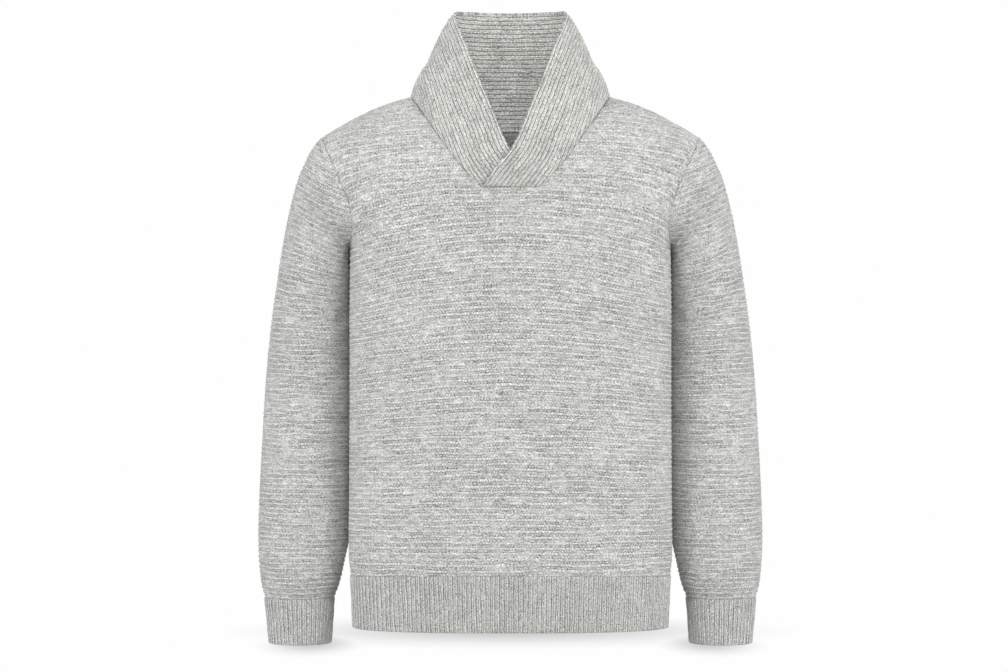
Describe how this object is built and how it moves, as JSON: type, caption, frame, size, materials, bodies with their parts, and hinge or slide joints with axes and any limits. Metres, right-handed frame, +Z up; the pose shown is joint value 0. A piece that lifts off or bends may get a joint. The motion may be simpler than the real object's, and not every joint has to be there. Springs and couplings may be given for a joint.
{
  "type": "shawl collar sweater",
  "caption": "Light heather grey shawl collar pullover in cross-ridged knit, with set-in sleeves, a lapped ribbed collar, ribbed cuffs and a ribbed hem, filled out as when worn.",
  "frame": {"origin": "midway between the two points where the shoulder seams meet the collar, which is where the wearer's shoulders and neck carry the sweater", "axes": "+Z up along the body, -Y is the front, +X is the viewer's right seen from the front"},
  "size_m": [0.65, 0.2336, 0.8163],
  "materials": {
    "body_knit": "cross-ridged marled knit, matt",
    "rib_knit": "fine one by one rib, matt",
    "collar_rib_knit": "rib along the collar's length, marled, matt"
  },
  "bodies": {
    "root": {"front_body": "body_knit", "back_body": "body_knit", "sleeve_left_upper": "body_knit", "sleeve_left_lower": "body_knit", "sleeve_right_upper": "body_knit", "sleeve_right_lower": "body_knit", "cuff_left": "rib_knit", "cuff_right": "rib_knit", "hem_rib": "rib_knit", "shawl_collar": "collar_rib_knit"}
  },
  "joints": []
}
